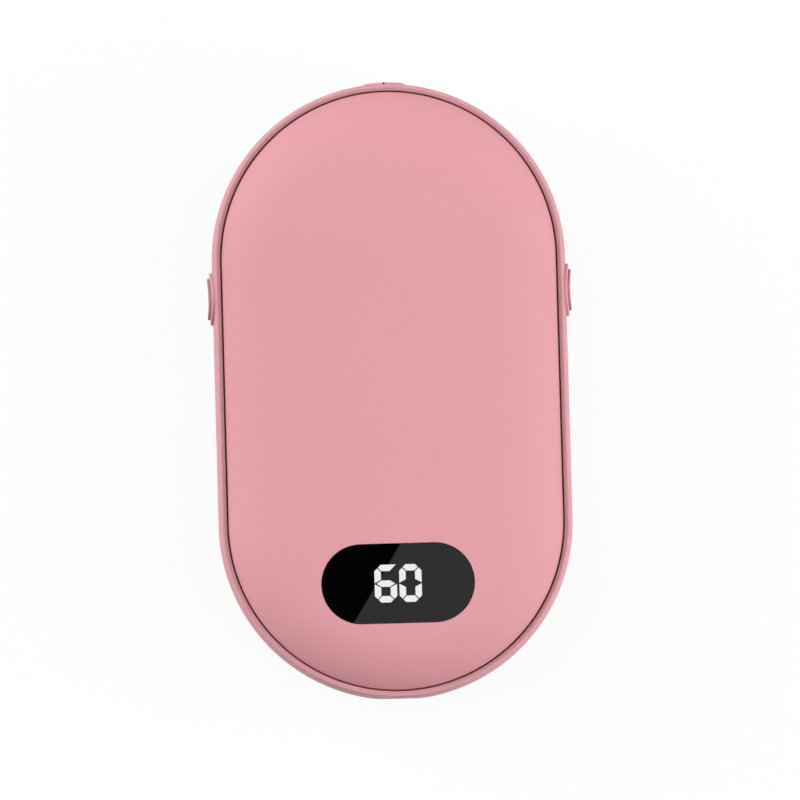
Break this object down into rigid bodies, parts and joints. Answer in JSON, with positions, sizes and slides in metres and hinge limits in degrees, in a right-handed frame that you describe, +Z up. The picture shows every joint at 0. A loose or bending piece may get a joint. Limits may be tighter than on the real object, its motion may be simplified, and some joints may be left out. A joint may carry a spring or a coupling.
{
  "type": "rechargeable hand warmer",
  "caption": "Flat oblong rechargeable hand warmer with a crowned cover, a black display window, side buttons, a power button and a charging port.",
  "frame": {"origin": "middle of the flat resting face, under the centre of the housing", "axes": "+Z up out of the display side, +Y along the length towards the power button, +X to the right seen from the display side"},
  "size_m": [0.065, 0.11, 0.026],
  "materials": {
    "pink_shell": "matt soft-touch paint on moulded plastic",
    "pink_button": "matt soft-touch paint on moulded plastic",
    "window_black": "polished black acrylic",
    "digit_white": "lit translucent light guide",
    "dark_guide": "unlit smoked light guide",
    "tape": "black foam adhesive",
    "display_plastic": "white moulded reflector",
    "board_green": "solder mask on glass laminate",
    "chip_black": "moulded epoxy",
    "ferrite": "sintered ferrite",
    "socket_steel": "drawn stainless steel",
    "socket_plastic": "moulded black plastic",
    "switch_black": "moulded black plastic",
    "cell_wrap": "shrink wrap over a rolled can",
    "nickel": "rolled nickel strip",
    "tray_plastic": "moulded black plastic",
    "heat_aluminium": "rolled sheet",
    "heater_film": "amber polyimide film",
    "glass_bead": "dipped epoxy bead",
    "fuse_metal": "drawn can",
    "red_wire": "silicone insulation",
    "black_wire": "silicone insulation",
    "screw_steel": "zinc-plated steel"
  },
  "bodies": {
    "housing": {"battery_tray": "tray_plastic", "board_screws": "screw_steel", "charge_chip": "chip_black", "control_chip": "chip_black", "dark_segments": "dark_guide", "display_module": "display_plastic", "display_window": "window_black", "front_cover": "pink_shell", "front_heat_plate": "heat_aluminium", "front_heater_film": "heater_film", "inductor": "ferrite", "left_cell": "cell_wrap", "left_collar": "pink_button", "left_switch": "switch_black", "left_switch_board": "board_green", "lit_segments": "digit_white", "main_board": "board_green", "middle_frame": "pink_shell", "negative_lead": "black_wire", "negative_link": "nickel", "positive_lead": "red_wire", "positive_link": "nickel", "power_switch": "switch_black", "power_switch_board": "board_green", "rear_cover": "pink_shell", "rear_heat_plate": "heat_aluminium", "rear_heater_film": "heater_film", "right_cell": "cell_wrap", "right_collar": "pink_button", "right_switch": "switch_black", "right_switch_board": "board_green", "thermal_fuse": "fuse_metal", "thermistor": "glass_bead", "tray_screws": "screw_steel", "usb_c_shell": "socket_steel", "usb_c_tongue": "socket_plastic", "window_tape": "tape"},
    "left_key": {"left_button": "pink_button", "left_plunger": "switch_black"},
    "right_key": {"right_button": "pink_button", "right_plunger": "switch_black"},
    "power_key": {"power_button": "pink_button", "power_plunger": "switch_black"}
  },
  "joints": [
    {"name": "left_press", "type": "slide", "parent": "housing", "child": "left_key", "axis": [1, 0, 0], "range_m": [0, 0.0004], "stiffness_N_per_m": 2500},
    {"name": "right_press", "type": "slide", "parent": "housing", "child": "right_key", "axis": [-1, 0, 0], "range_m": [0, 0.0004], "stiffness_N_per_m": 2500},
    {"name": "power_press", "type": "slide", "parent": "housing", "child": "power_key", "axis": [0, -1, 0], "range_m": [0, 0.0004], "stiffness_N_per_m": 2500}
  ]
}
